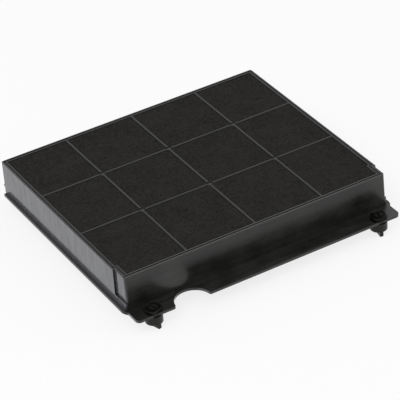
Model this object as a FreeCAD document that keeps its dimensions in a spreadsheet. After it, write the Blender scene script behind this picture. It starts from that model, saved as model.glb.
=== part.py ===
import FreeCAD, Part
import math
import os
import Sketcher

# Driving dimensions in millimetres, angles in degrees
SIZES = {
    # Casing moulding
    "casing_width": 220.0,
    "casing_depth": 183.5,
    "casing_height": 28.2,
    "front_lean": 1.6,
    "wall": 1.4,
    "corner_round": 1.8,
    "inner_corner_round": 0.6,
    "foot_round": 2.6,
    "rim_round": 0.5,
    "relief_depth": 1.4,
    "relief_wall": 2.1,
    "relief_length": 13.4,
    "relief_foot": 7.2,
    "floor_skin": 1.4,
    "floor_margin": 5.0,
    "floor_rib": 3.0,
    "web": 1.6,
    "bridge_length": 28.0,
    # Rib and web grid, from the front rim
    "column_pitch": 56.5,
    "first_row": 65.2,
    "row_pitch": 58.4,
    # Flange, side ledges and rear tongues
    "flange_skin": 2.1,
    "flange_depth": 17.3,
    "tab_corner": 3.5,
    "ledge_width": 2.5,
    "ledge_reach": 4.4,
    "ledge_turn": 2.1,
    "ledge_round": 9.2,
    "ledge_rear_gap": 3.9,
    "recess_place": 65.4,
    "recess_depth": 13.2,
    "recess_radius": 13.7,
    "recess_lip": 1.8,
    "tongue_width": 22.0,
    "tongue_inset": 3.7,
    "tongue_length": 8.9,
    "tongue_lead": 0.9,
    # Cover grid
    "cover_gap": 0.7,
    "border_width": 1.7,
    "cover_corner_round": 0.6,
    "border_bite": 0.5,
    "skirt_depth": 4.2,
    "rib_width": 1.8,
    "rib_depth": 1.6,
    "rib_round": 0.5,
    "crossing_radius": 2.3,
    "crossing_drop": 0.55,
    "side_snap_inset": 46.0,
    "end_snap_pitch": 56.5,
    "snap_length": 12.0,
    "snap_height": 1.3,
    "snap_reach": 0.85,
    "snap_drop": 2.4,
    "snap_clearance": 0.12,
    # Fleeces and carbon
    "top_fleece": 1.6,
    "fleece_drop": 0.6,
    "floor_fleece": 1.2,
    "fleece_clearance": 0.1,
    "bed_clearance": 0.2,
    # Quarter-turn knobs and their lock cams
    "knob_side_gap": 15.6,
    "knob_edge_gap": 5.4,
    "barrel_radius": 6.5,
    "barrel_height": 7.0,
    "barrel_bevel": 0.5,
    "shaft_radius": 3.5,
    "bore_clearance": 0.07,
    "knob_gap": 0.2,
    "fin_height": 4.2,
    "fin_length": 11.4,
    "fin_width": 2.8,
    "fin_bevel": 0.4,
    "cam_seat_radius": 7.0,
    "cam_seat_drop": 0.3,
    "cam_radius": 6.2,
    "cam_flats": 9.6,
    "cam_height": 2.4,
    "cam_bevel": 0.4,
    "post_side": 4.6,
    "post_clearance": 0.05,
    "post_head_radius": 3.1,
    "post_head_height": 0.8,
    "post_slot": 1.0,
    "post_slot_depth": 2.6,
    "stop_place": 5.2,
    "stop_radius": 0.7,
    "stop_height": 0.8,
    "stop_clearance": 0.2,
    "knob_travel": 90.0,
    "left_turn": 16.0,
    "right_turn": -10.0,
}

doc = FreeCAD.newDocument("CarbonFilter")
sheet = doc.addObject("Spreadsheet::Sheet", "Sizes")


class Size:
    """A number together with the sheet formula that gives it."""

    def __init__(self, number, formula):
        self.number = number
        self.formula = formula

    @staticmethod
    def of(value):
        return value if isinstance(value, Size) else Size(float(value), repr(float(value)))

    def __add__(self, other):
        other = Size.of(other)
        return Size(self.number + other.number, f"({self.formula} + {other.formula})")

    def __sub__(self, other):
        other = Size.of(other)
        return Size(self.number - other.number, f"({self.formula} - {other.formula})")

    def __mul__(self, other):
        other = Size.of(other)
        return Size(self.number * other.number, f"({self.formula} * {other.formula})")

    def __truediv__(self, other):
        other = Size.of(other)
        return Size(self.number / other.number, f"({self.formula} / {other.formula})")

    def __neg__(self):
        return Size(-self.number, f"(0 - {self.formula})")

    def root(self):
        return Size(math.sqrt(self.number), f"sqrt({self.formula})")

    def arcsine(self):
        return Size(math.degrees(math.asin(self.number)), f"(asin({self.formula}) / 1deg)")

    def cosine(self):
        return Size(math.cos(math.radians(self.number)), f"cos({self.formula} * 1deg)")

    def sine(self):
        return Size(math.sin(math.radians(self.number)), f"sin({self.formula} * 1deg)")


ZERO = Size(0.0, "0")


class Named:
    """The sheet's cells, read by name."""

    def __init__(self, numbers):
        for line, (name, number) in enumerate(numbers.items(), start=1):
            sheet.set(f"A{line}", name)
            sheet.set(f"B{line}", str(number))
            sheet.setAlias(f"B{line}", name)
            setattr(self, name, Size(number, f"{sheet.Name}.{name}"))


s = Named(SIZES)
doc.recompute()

# Places worked out from the sheet, seen from the front rim's middle at the underside
half = s.casing_width / 2
inner_half = half - s.wall
front_inner_half = half - s.relief_depth - s.relief_wall
relief_end = s.relief_length + s.wall
relief_height = s.casing_height - s.relief_foot
rear_inner = s.casing_depth - s.wall
skirt_bottom = s.casing_height - s.skirt_depth
rib_bottom = s.casing_height - s.rib_depth
fleece_top = s.casing_height - s.fleece_drop
web_top = fleece_top - s.top_fleece
bed_bottom = s.floor_skin + s.floor_fleece
border_inner = s.wall + s.cover_gap + s.border_width
flange_front = -s.flange_depth
knob_x = half - s.knob_side_gap
knob_y = flange_front + s.knob_edge_gap
grid_rows = [s.first_row, s.first_row + s.row_pitch]
grid_columns = [-s.column_pitch, ZERO, s.column_pitch]

# The whole part stands on the knobs' fins, with its box centred over the origin
barrel_overhang = s.barrel_radius - s.knob_edge_gap
overall_depth = barrel_overhang + s.flange_depth + s.casing_depth + s.tongue_length
datum_y = barrel_overhang + s.flange_depth - overall_depth / 2
datum_z = s.fin_height + s.barrel_height + s.knob_gap


def lean_at(height):
    """How far the front wall stands ahead of its rim at a height above the underside."""
    return s.front_lean - s.front_lean * height / s.casing_height


def new_body(label):
    body = doc.addObject("PartDesign::Body", label)
    body.Label = label
    return body


def new_sketch(body, name, role="XY_Plane", offset=None):
    sketch = body.newObject("Sketcher::SketchObject", name)
    plane = next(item for item in body.Origin.OriginFeatures if item.Role == role)
    sketch.AttachmentSupport = [(plane, "")]
    sketch.MapMode = "FlatFace"
    if offset is not None:
        sketch.AttachmentOffset = FreeCAD.Placement(
            FreeCAD.Vector(0, 0, offset.number), FreeCAD.Rotation())
        sketch.setExpression("AttachmentOffset.Base.z", offset.formula)
    return sketch


def bind(sketch, kind, *where):
    """Adds a dimension whose last item is a Size, and binds it to the sheet."""
    size = where[-1]
    index = sketch.addConstraint(Sketcher.Constraint(kind, *where[:-1], size.number))
    sketch.setExpression(f"Constraints[{index}]", size.formula)


def pin_point(sketch, item, end, x, y):
    """Fixes one end of an item at x, y from the sketch's origin."""
    for kind, axis, size in (("DistanceX", -2, x), ("DistanceY", -1, y)):
        if size is ZERO:
            sketch.addConstraint(Sketcher.Constraint("PointOnObject", item, end, axis))
        else:
            bind(sketch, kind, -1, 1, item, end, size)


def arc_between(start, end, radius, turn):
    """The short arc from start to end that turns left (1) or right (-1)."""
    chord = end - start
    rise = radius - math.sqrt(max(radius ** 2 - (chord.Length / 2) ** 2, 0.0))
    outward = FreeCAD.Vector(chord.y, -chord.x, 0).normalize() * (rise * turn)
    return Part.Arc(start, start + chord / 2 + outward, end)


def outline(sketch, corners, arcs=None):
    """A closed outline; arcs gives (radius, turn) for the side that leaves a corner."""
    arcs = arcs or {}
    points = [FreeCAD.Vector(x.number, y.number, 0) for x, y in corners]
    items = []
    for index, start in enumerate(points):
        end = points[(index + 1) % len(points)]
        if index in arcs:
            radius, turn = arcs[index]
            side = arc_between(start, end, radius.number, turn)
        else:
            side = Part.LineSegment(start, end)
        items.append(sketch.addGeometry(side))

    def end_at(item, point):
        gap = sketch.getPoint(item, 1) - point
        return 1 if gap.Length < 1e-6 else 2

    for index, item in enumerate(items):
        before = items[index - 1]
        here = points[index]
        sketch.addConstraint(Sketcher.Constraint(
            "Coincident", before, end_at(before, here), item, end_at(item, here)))
        pin_point(sketch, item, end_at(item, here), *corners[index])
        if index in arcs:
            bind(sketch, "Radius", item, arcs[index][0])


def rectangle(sketch, x0, x1, y0, y1):
    outline(sketch, [(x0, y0), (x1, y0), (x1, y1), (x0, y1)])


def circle(sketch, x, y, radius):
    item = sketch.addGeometry(Part.Circle(
        FreeCAD.Vector(x.number, y.number, 0), FreeCAD.Vector(0, 0, 1), radius.number))
    pin_point(sketch, item, 3, x, y)
    bind(sketch, "Radius", item, radius)


def swept(body, kind, name, sketch, length, both=False, back=False):
    feature = body.newObject(f"PartDesign::{kind}", name)
    feature.Profile = sketch
    feature.Length = length.number
    feature.setExpression("Length", length.formula)
    if both:
        feature.SideType = "Symmetric"
    feature.Reversed = back
    return feature


def pad(body, name, sketch, length, **ways):
    return swept(body, "Pad", name, sketch, length, **ways)


def pocket(body, name, sketch, length, **ways):
    """Cuts into the body, and stops the build if nothing was cut."""
    doc.recompute()
    before = body.Shape.Volume
    feature = swept(body, "Pocket", name, sketch, length, **ways)
    doc.recompute()
    if body.Shape.Volume > before - 1e-3:
        raise RuntimeError(f"{name} cuts nothing from {body.Label}")
    return feature


def dress(body, kind, name, prop, size, wanted):
    """Works the edges of the body that the test wants."""
    doc.recompute()
    base = body.Tip
    names = [f"Edge{index}" for index, edge in enumerate(base.Shape.Edges, start=1)
             if wanted(edge.BoundBox)]
    if not names:
        raise RuntimeError(f"{name} finds no edge on {body.Label}")
    feature = body.newObject(f"PartDesign::{kind}", name)
    feature.Base = (base, names)
    setattr(feature, prop, size.number)
    feature.setExpression(prop, size.formula)
    return feature


def fillet(body, name, radius, wanted):
    return dress(body, "Fillet", name, "Radius", radius, wanted)


def bevel(body, name, size, wanted):
    return dress(body, "Chamfer", name, "Size", size, wanted)


def set_down(item):
    """Places a piece that is drawn from the front rim's middle at the underside."""
    item.Placement = FreeCAD.Placement(
        FreeCAD.Vector(0, datum_y.number, datum_z.number), FreeCAD.Rotation())
    item.setExpression("Placement.Base.y", datum_y.formula)
    item.setExpression("Placement.Base.z", datum_z.formula)


def near(value, size):
    return abs(value - size.number) < 0.02


def frame_corners(margin):
    """The inside of the walls drawn in by a margin, with its two narrow front corners."""
    wide = inner_half - margin
    narrow = front_inner_half - margin
    front = s.wall + margin
    step = relief_end + margin
    rear = rear_inner - margin
    return [(-narrow, front), (narrow, front), (narrow, step), (wide, step),
            (wide, rear), (-wide, rear), (-wide, step), (-narrow, step)]


def cell_spans(lines, low, high, rib):
    """The clear spans between lines of ribs, from one end to the other."""
    lows = [low] + [line + rib / 2 for line in lines]
    highs = [line - rib / 2 for line in lines] + [high]
    return list(zip(lows, highs))


def snap_places():
    """Axis, side and middle of each snap: two a side wall, three in front and at the rear."""
    side_y = [s.side_snap_inset, s.casing_depth - s.side_snap_inset]
    end_x = [-s.end_snap_pitch, ZERO, s.end_snap_pitch]
    places = [("x", sign, y) for sign in (-1, 1) for y in side_y]
    return places + [("y", sign, x) for sign in (-1, 1) for x in end_x]


def snap_rectangles(sketch, reach, length, root):
    """Draws every snap as a rectangle standing out of the cover's border."""
    reach_x = inner_half - s.cover_gap
    for axis, sign, middle in snap_places():
        low = middle - length / 2
        high = middle + length / 2
        if axis == "x":
            inner = (reach_x - root) * sign
            outer = (reach_x + reach) * sign
            rectangle(sketch, *sorted((inner, outer), key=lambda item: item.number), low, high)
        else:
            edge = rear_inner - s.cover_gap if sign > 0 else s.wall + s.cover_gap
            inner = edge - root * sign
            outer = edge + reach * sign
            rectangle(sketch, low, high, *sorted((inner, outer), key=lambda item: item.number))


# Casing

def flange_outline(sketch):
    """Underside plan: side ledges, front flange, round recess and rounded tab corners."""
    wide = half + s.ledge_width
    rear = s.casing_depth - s.ledge_rear_gap
    corner = s.tab_corner
    lip = s.recess_lip
    centre_x = -s.recess_place
    centre_y = flange_front + s.recess_depth - s.recess_radius
    drop = flange_front + lip - centre_y
    span = s.recess_radius + lip
    reach = (span * span - drop * drop).root()
    share = s.recess_radius / span
    corners = [
        (-wide, rear),
        (-wide, s.ledge_turn),
        (-half, -s.ledge_reach),
        (-half, flange_front + corner),
        (-half + corner, flange_front),
        (centre_x - reach, flange_front),
        (centre_x - reach * share, centre_y + drop * share),
        (centre_x + reach * share, centre_y + drop * share),
        (centre_x + reach, flange_front),
        (half - corner, flange_front),
        (half, flange_front + corner),
        (half, -s.ledge_reach),
        (wide, s.ledge_turn),
        (wide, rear),
    ]
    arcs = {
        1: (s.ledge_round, 1),
        3: (corner, 1),
        5: (lip, 1),
        6: (s.recess_radius, -1),
        7: (lip, 1),
        9: (corner, 1),
        11: (s.ledge_round, 1),
    }
    outline(sketch, corners, arcs)


def make_casing():
    body = new_body("casing")

    plan = new_sketch(body, "flange_plan")
    flange_outline(plan)
    pad(body, "flange", plan, s.flange_skin)

    tongues = new_sketch(body, "tongue_plan")
    for sign in (-1, 1):
        outer = (half - s.tongue_inset) * sign
        inner = (half - s.tongue_inset - s.tongue_width) * sign
        low, high = sorted((outer, inner), key=lambda item: item.number)
        rectangle(tongues, low, high, rear_inner, s.casing_depth + s.tongue_length)
    pad(body, "rear_tongues", tongues, s.flange_skin)

    profile = new_sketch(body, "side_profile", "YZ_Plane")
    outline(profile, [(-s.front_lean, ZERO), (s.casing_depth, ZERO),
                      (s.casing_depth, s.casing_height), (ZERO, s.casing_height)])
    pad(body, "tub", profile, s.casing_width, both=True)

    reliefs = new_sketch(body, "relief_plan", offset=s.casing_height)
    for sign in (-1, 1):
        inner = (half - s.relief_depth) * sign
        outer = (half + s.relief_depth) * sign
        low, high = sorted((outer, inner), key=lambda item: item.number)
        rectangle(reliefs, low, high, -s.front_lean * 2, s.relief_length)
    pocket(body, "corner_reliefs", reliefs, relief_height)

    def is_upper_corner(box):
        at_front = box.YMax < 0.05 and near(abs(box.Center.x), half - s.relief_depth)
        at_rear = near(box.YMin, s.casing_depth) and near(abs(box.Center.x), half)
        return box.ZLength > s.flange_skin.number * 2 and (at_front or at_rear)

    def is_foot_corner(box):
        at_front = -s.front_lean.number - 0.05 < box.YMin and box.YMax < 0.05
        return box.ZLength > s.flange_skin.number and at_front and near(abs(box.Center.x), half)

    fillet(body, "corner_rounds", s.corner_round, is_upper_corner)
    fillet(body, "foot_rounds", s.foot_round, is_foot_corner)
    fillet(body, "rim_rounds", s.rim_round, lambda box: near(box.ZMin, s.casing_height))

    main = new_sketch(body, "bed_space_plan", offset=s.casing_height)
    rectangle(main, -inner_half, inner_half, relief_end, rear_inner)
    pocket(body, "bed_space", main, s.casing_height - s.floor_skin)

    front = new_sketch(body, "front_space_profile", "YZ_Plane")
    outline(front, [
        (s.wall - lean_at(s.floor_skin), s.floor_skin),
        (relief_end + s.wall, s.floor_skin),
        (relief_end + s.wall, s.casing_height),
        (s.wall, s.casing_height),
    ])
    pocket(body, "front_space", front, front_inner_half * 2, both=True)

    def is_inner_corner(box):
        at_rear = near(box.YMax, rear_inner) and near(abs(box.Center.x), inner_half)
        at_front = box.YMax < s.wall.number + 0.05 and near(abs(box.Center.x), front_inner_half)
        return box.ZLength > relief_height.number and box.YLength < 3 and (at_rear or at_front)

    fillet(body, "inner_rounds", s.inner_corner_round, is_inner_corner)

    windows = new_sketch(body, "floor_window_plan")
    side = inner_half - s.floor_margin
    for x0, x1 in cell_spans(grid_columns, -side, side, s.floor_rib):
        for y0, y1 in cell_spans(grid_rows, s.wall + s.floor_margin,
                                 rear_inner - s.floor_margin, s.floor_rib):
            rectangle(windows, x0, x1, y0, y1)
    pocket(body, "floor_windows", windows, s.floor_skin * 2, back=True)

    bridges = new_sketch(body, "bridge_plan", offset=s.floor_skin)
    bridge_half = s.bridge_length / 2
    web_half = s.web / 2
    for x in grid_columns:
        for y0, y1 in cell_spans(grid_rows, s.wall, rear_inner, s.web):
            middle = (y0 + y1) / 2
            rectangle(bridges, x - web_half, x + web_half, middle - bridge_half, middle + bridge_half)
    for y in grid_rows:
        for x0, x1 in cell_spans(grid_columns, -inner_half, inner_half, s.web):
            middle = (x0 + x1) / 2
            rectangle(bridges, middle - bridge_half, middle + bridge_half, y - web_half, y + web_half)
    pad(body, "fleece_bridges", bridges, s.floor_fleece)

    seat = border_inner + s.fleece_clearance
    for number, x in enumerate(grid_columns, start=1):
        long_web = new_sketch(body, f"long_web_profile_{number}", "YZ_Plane", x - web_half)
        outline(long_web, [
            (s.wall / 2 - lean_at(bed_bottom), bed_bottom),
            (s.casing_depth - s.wall / 2, bed_bottom),
            (s.casing_depth - s.wall / 2, skirt_bottom),
            (s.casing_depth - seat, skirt_bottom),
            (s.casing_depth - seat, web_top),
            (seat, web_top),
            (seat, skirt_bottom),
            (s.wall / 2 - lean_at(skirt_bottom), skirt_bottom),
        ])
        pad(body, f"long_web_{number}", long_web, s.web)
    for number, y in enumerate(grid_rows, start=1):
        cross_web = new_sketch(body, f"cross_web_profile_{number}", "XZ_Plane", -(y + web_half))
        end = half - s.wall / 2
        shoulder = half - seat
        outline(cross_web, [
            (-end, bed_bottom), (end, bed_bottom), (end, skirt_bottom),
            (shoulder, skirt_bottom), (shoulder, web_top),
            (-shoulder, web_top), (-shoulder, skirt_bottom), (-end, skirt_bottom),
        ])
        pad(body, f"cross_web_{number}", cross_web, s.web)

    snaps = new_sketch(body, "snap_pocket_plan", offset=s.casing_height - s.snap_drop
                       + s.snap_clearance)
    snap_rectangles(snaps, s.snap_reach + s.snap_clearance,
                    s.snap_length + s.snap_clearance * 2, s.snap_clearance)
    pocket(body, "snap_pockets", snaps, s.snap_height + s.snap_clearance * 2)

    bores = new_sketch(body, "knob_bore_plan")
    seats = new_sketch(body, "cam_seat_plan", offset=s.flange_skin)
    for sign in (-1, 1):
        circle(bores, knob_x * sign, knob_y, s.shaft_radius + s.bore_clearance)
        circle(seats, knob_x * sign, knob_y, s.cam_seat_radius)
    pocket(body, "knob_bores", bores, s.flange_skin * 2, back=True)
    pocket(body, "cam_seats", seats, s.cam_seat_drop)

    grooves = new_sketch(body, "stop_groove_plan")
    for sign in (-1, 1):
        stop_groove(grooves, sign)
    pocket(body, "stop_grooves", grooves, s.stop_height + s.stop_clearance - s.knob_gap, back=True)

    fillet(body, "tongue_leads", s.tongue_lead,
           lambda box: near(box.YMin, s.casing_depth + s.tongue_length)
           and box.ZLength < 0.01 and near(box.ZMin, s.flange_skin))
    set_down(body)
    return body


def stop_groove(sketch, sign):
    """A quarter ring in the underside that the knob's stop runs in."""
    half_width = s.stop_radius + s.stop_clearance
    inner = s.stop_place - half_width
    outer = s.stop_place + half_width
    # The groove runs past both limits by half its own width
    beyond = (half_width / s.stop_place).arcsine()
    low = -beyond
    high = s.knob_travel + beyond
    middle = s.knob_travel / 2

    def at(radius, angle):
        along = radius * angle.cosine()
        return (knob_x - along) * sign, knob_y + radius * angle.sine()

    corners = [at(inner, low), at(outer, low), at(outer, middle), at(outer, high),
               at(inner, high), at(inner, middle)]
    outline(sketch, corners, {1: (outer, -sign), 2: (outer, -sign),
                              4: (inner, sign), 5: (inner, sign)})


# Cover grid

def make_cover():
    body = new_body("cover_grid")
    border = new_sketch(body, "border_plan", offset=skirt_bottom)
    outline(border, frame_corners(s.cover_gap))
    outline(border, frame_corners(s.cover_gap + s.border_width))
    pad(body, "border", border, s.skirt_depth)

    rear = s.casing_depth - border_inner
    side = half - border_inner
    bite = s.border_bite
    rib_half = s.rib_width / 2
    long_ribs = new_sketch(body, "long_rib_plan", offset=rib_bottom)
    for x in grid_columns:
        rectangle(long_ribs, x - rib_half, x + rib_half, border_inner - bite, rear + bite)
    pad(body, "long_ribs", long_ribs, s.rib_depth)
    cross_ribs = new_sketch(body, "cross_rib_plan", offset=rib_bottom)
    for y in grid_rows:
        rectangle(cross_ribs, -side - bite, side + bite, y - rib_half, y + rib_half)
    pad(body, "cross_ribs", cross_ribs, s.rib_depth)

    def is_outer_corner(box):
        at_rear = near(box.YMin, rear_inner - s.cover_gap)
        at_front = near(box.YMin, s.wall + s.cover_gap)
        return box.ZLength > s.rib_depth.number and box.XLength < 0.01 and box.YLength < 0.01 and (
            at_rear or at_front)

    fillet(body, "corner_rounds", s.cover_corner_round, is_outer_corner)
    fillet(body, "crown_rounds", s.rib_round, lambda box: near(box.ZMin, s.casing_height))

    crossings = new_sketch(body, "crossing_plan", offset=s.casing_height)
    for x in grid_columns:
        for y in grid_rows:
            circle(crossings, x, y, s.crossing_radius)
    pocket(body, "crossing_dips", crossings, s.crossing_drop)

    snaps = new_sketch(body, "snap_plan", offset=s.casing_height - s.snap_drop)
    snap_rectangles(snaps, s.snap_reach, s.snap_length, s.border_bite)
    pad(body, "snaps", snaps, s.snap_height, back=True)
    set_down(body)
    return body


# Fleeces

def make_top_fleece():
    body = new_body("top_fleece")
    margin = s.cover_gap + s.border_width + s.fleece_clearance
    sheet_plan = new_sketch(body, "fleece_plan", offset=web_top)
    outline(sheet_plan, frame_corners(margin))
    pad(body, "fleece", sheet_plan, s.top_fleece)

    # The ribs press their own width into the fleece
    groove_half = s.rib_width / 2 + s.fleece_clearance / 2
    long_grooves = new_sketch(body, "long_groove_plan", offset=fleece_top)
    for x in grid_columns:
        rectangle(long_grooves, x - groove_half, x + groove_half, ZERO - s.wall, s.casing_depth)
    pocket(body, "long_grooves", long_grooves, fleece_top - rib_bottom)
    cross_grooves = new_sketch(body, "cross_groove_plan", offset=fleece_top)
    for y in grid_rows:
        rectangle(cross_grooves, -half, half, y - groove_half, y + groove_half)
    pocket(body, "cross_grooves", cross_grooves, fleece_top - rib_bottom)
    set_down(body)
    return body


def make_floor_fleece():
    body = new_body("floor_fleece")
    gap = s.bed_clearance
    side = inner_half - gap
    narrow = front_inner_half - gap
    step = relief_end + gap
    front = s.wall + gap - lean_at(bed_bottom)
    rear = rear_inner - gap
    sheet_plan = new_sketch(body, "fleece_plan", offset=s.floor_skin)
    outline(sheet_plan, [(-narrow, front), (narrow, front), (narrow, step), (side, step),
                         (side, rear), (-side, rear), (-side, step), (-narrow, step)])
    web_half = s.web / 2 + s.fleece_clearance
    bridge_half = s.bridge_length / 2 + s.fleece_clearance
    for x in grid_columns:
        for y0, y1 in cell_spans(grid_rows, s.wall, rear_inner, s.web):
            middle = (y0 + y1) / 2
            rectangle(sheet_plan, x - web_half, x + web_half,
                      middle - bridge_half, middle + bridge_half)
    for y in grid_rows:
        for x0, x1 in cell_spans(grid_columns, -inner_half, inner_half, s.web):
            middle = (x0 + x1) / 2
            rectangle(sheet_plan, middle - bridge_half, middle + bridge_half,
                      y - web_half, y + web_half)
    pad(body, "fleece", sheet_plan, s.floor_fleece)
    fillet(body, "corner_rounds", s.inner_corner_round,
           lambda box: near(box.ZLength, s.floor_fleece) and (
               near(box.YMin, rear) or near(box.YMin, front)))
    set_down(body)
    return body


# Carbon beds

def make_bed_space():
    """The room for carbon in the whole casing, which the cells then share out."""
    body = new_body("bed_space_form")
    gap = s.bed_clearance
    main = new_sketch(body, "main_plan", offset=bed_bottom)
    rectangle(main, -inner_half + gap, inner_half - gap, relief_end + gap, rear_inner - gap)
    pad(body, "main", main, skirt_bottom - bed_bottom)
    front = new_sketch(body, "front_profile", "YZ_Plane")
    outline(front, [
        (s.wall + gap - lean_at(bed_bottom), bed_bottom),
        (relief_end + s.wall, bed_bottom),
        (relief_end + s.wall, skirt_bottom),
        (s.wall + gap - lean_at(skirt_bottom), skirt_bottom),
    ])
    pad(body, "front", front, (front_inner_half - gap) * 2, both=True)

    def is_corner(box):
        at_rear = near(box.YMin, rear_inner - gap)
        return box.ZLength > 5 and (at_rear or box.YMax < s.wall.number + gap.number + 0.05)

    fillet(body, "corner_rounds", s.inner_corner_round, is_corner)
    upper = new_sketch(body, "upper_plan", offset=skirt_bottom)
    outline(upper, frame_corners(s.cover_gap + s.border_width + gap))
    pad(body, "upper", upper, web_top - skirt_bottom)
    set_down(body)
    return body


def make_beds(space):
    gap = s.bed_clearance
    columns = cell_spans(grid_columns, -half, half, s.web + gap * 2)
    rows = cell_spans(grid_rows, -s.front_lean, s.casing_depth, s.web + gap * 2)
    beds = []
    for row, (y0, y1) in enumerate(rows, start=1):
        for column, (x0, x1) in enumerate(columns, start=1):
            label = f"carbon_bed_{row}_{column}"
            cell = doc.addObject("Part::Box", f"cell_{row}_{column}")
            place = {"x": x0, "y": y0 + datum_y, "z": datum_z}
            for prop, size in (("Length", x1 - x0), ("Width", y1 - y0),
                               ("Height", s.casing_height)):
                setattr(cell, prop, size.number)
                cell.setExpression(prop, size.formula)
            cell.Placement.Base = FreeCAD.Vector(*(size.number for size in place.values()))
            for axis, size in place.items():
                cell.setExpression(f"Placement.Base.{axis}", size.formula)
            bed = doc.addObject("Part::Common", label)
            bed.Label = label
            bed.Base = space
            bed.Tool = cell
            beds.append(bed)
    return beds


# Quarter-turn knobs and lock cams

def set_on_axis(item, sign, turn):
    """Places a piece that is drawn on its own axis at the flange's underside."""
    place_x = knob_x * sign
    place_y = datum_y + knob_y
    item.Placement = FreeCAD.Placement(
        FreeCAD.Vector(place_x.number, place_y.number, datum_z.number),
        FreeCAD.Rotation(FreeCAD.Vector(0, 0, 1), turn.number))
    item.setExpression("Placement.Base.x", place_x.formula)
    item.setExpression("Placement.Base.y", place_y.formula)
    item.setExpression("Placement.Base.z", datum_z.formula)
    item.setExpression("Placement.Rotation.Angle", f"{turn.formula} * 1deg")


def make_knob(side, sign, turn):
    body = new_body(f"{side}_knob")
    barrel_top = -s.knob_gap
    barrel_bottom = barrel_top - s.barrel_height
    cam_bottom = s.flange_skin - s.cam_seat_drop + s.knob_gap
    cam_top = cam_bottom + s.cam_height

    turned = new_sketch(body, "turned_profile", "XZ_Plane")
    outline(turned, [
        (ZERO, barrel_bottom), (s.barrel_radius, barrel_bottom), (s.barrel_radius, barrel_top),
        (s.shaft_radius, barrel_top), (s.shaft_radius, cam_bottom), (ZERO, cam_bottom),
    ])
    spin = body.newObject("PartDesign::Revolution", "barrel_and_shaft")
    spin.Profile = turned
    spin.ReferenceAxis = (turned, ["V_Axis"])
    spin.Angle = 360
    bevel(body, "barrel_bevel", s.barrel_bevel,
          lambda box: near(box.ZMax, barrel_bottom) and box.XLength > 1)

    fin = new_sketch(body, "fin_plan", offset=barrel_bottom)
    rectangle(fin, -s.fin_width / 2, s.fin_width / 2, -s.fin_length / 2, s.fin_length / 2)
    pad(body, "fin", fin, s.fin_height, back=True)
    bevel(body, "fin_bevels", s.fin_bevel,
          lambda box: box.ZMin < barrel_bottom.number - s.fin_height.number / 2)

    post = new_sketch(body, "post_plan", offset=cam_bottom)
    post_half = s.post_side / 2
    rectangle(post, -post_half, post_half, -post_half, post_half)
    pad(body, "post", post, s.cam_height)
    head = new_sketch(body, "post_head_plan", offset=cam_top)
    circle(head, ZERO, ZERO, s.post_head_radius)
    pad(body, "post_head", head, s.post_head_height)
    slot = new_sketch(body, "post_slot_plan", offset=cam_top + s.post_head_height)
    slot_half = s.post_slot / 2
    rectangle(slot, -slot_half, slot_half, -s.post_head_radius - slot_half,
              s.post_head_radius + slot_half)
    pocket(body, "post_slot", slot, s.post_slot_depth)

    stop = new_sketch(body, "stop_plan", offset=barrel_top)
    circle(stop, s.stop_place * -sign, ZERO, s.stop_radius)
    pad(body, "stop", stop, s.stop_height)
    set_on_axis(body, sign, turn)
    return body


def make_cam(side, sign, turn):
    body = new_body(f"{side}_lock_cam")
    cam_bottom = s.flange_skin - s.cam_seat_drop + s.knob_gap
    flat = s.cam_flats / 2
    chord = (s.cam_radius * s.cam_radius - flat * flat).root()
    hole = s.post_side / 2 + s.post_clearance
    plan = new_sketch(body, "cam_plan", offset=cam_bottom)
    outline(plan, [(-chord, -flat), (chord, -flat), (chord, flat), (-chord, flat)],
            {1: (s.cam_radius, 1), 3: (s.cam_radius, 1)})
    rectangle(plan, -hole, hole, -hole, hole)
    pad(body, "cam", plan, s.cam_height)
    bevel(body, "cam_bevels", s.cam_bevel,
          lambda box: near(box.ZMin, cam_bottom + s.cam_height)
          and max(box.XLength, box.YLength) > s.post_side.number + 0.5)
    set_on_axis(body, sign, turn)
    return body


bed_space = make_bed_space()
pieces = [make_casing(), make_cover(), make_top_fleece(), make_floor_fleece()]
pieces += make_beds(bed_space)
for side, sign, turn in (("left", -1, s.left_turn), ("right", 1, s.right_turn)):
    pieces.append(make_knob(side, sign, turn))
    pieces.append(make_cam(side, sign, turn))
doc.recompute()

failed = [item.Name for item in doc.Objects if {"Invalid", "Error"} & set(item.State)]
if failed:
    raise RuntimeError(f"objects that did not build: {failed}")
for piece in pieces:
    if piece.Shape.isNull() or not piece.Shape.isValid():
        raise RuntimeError(f"{piece.Label} has no valid shape")

os.makedirs("parts", exist_ok=True)
for piece in pieces:
    piece.Shape.exportStep(os.path.join("parts", f"{piece.Label}.step"))
    box = piece.Shape.BoundBox
    print(f"{piece.Label}: {len(piece.Shape.Solids)} solid, {piece.Shape.Volume:.0f} mm3, "
          f"x {box.XMin:.2f} {box.XMax:.2f}, y {box.YMin:.2f} {box.YMax:.2f}, "
          f"z {box.ZMin:.2f} {box.ZMax:.2f}")
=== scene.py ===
import functools
import math

import bpy
import numpy as np
from mathutils import Matrix, Vector


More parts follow.
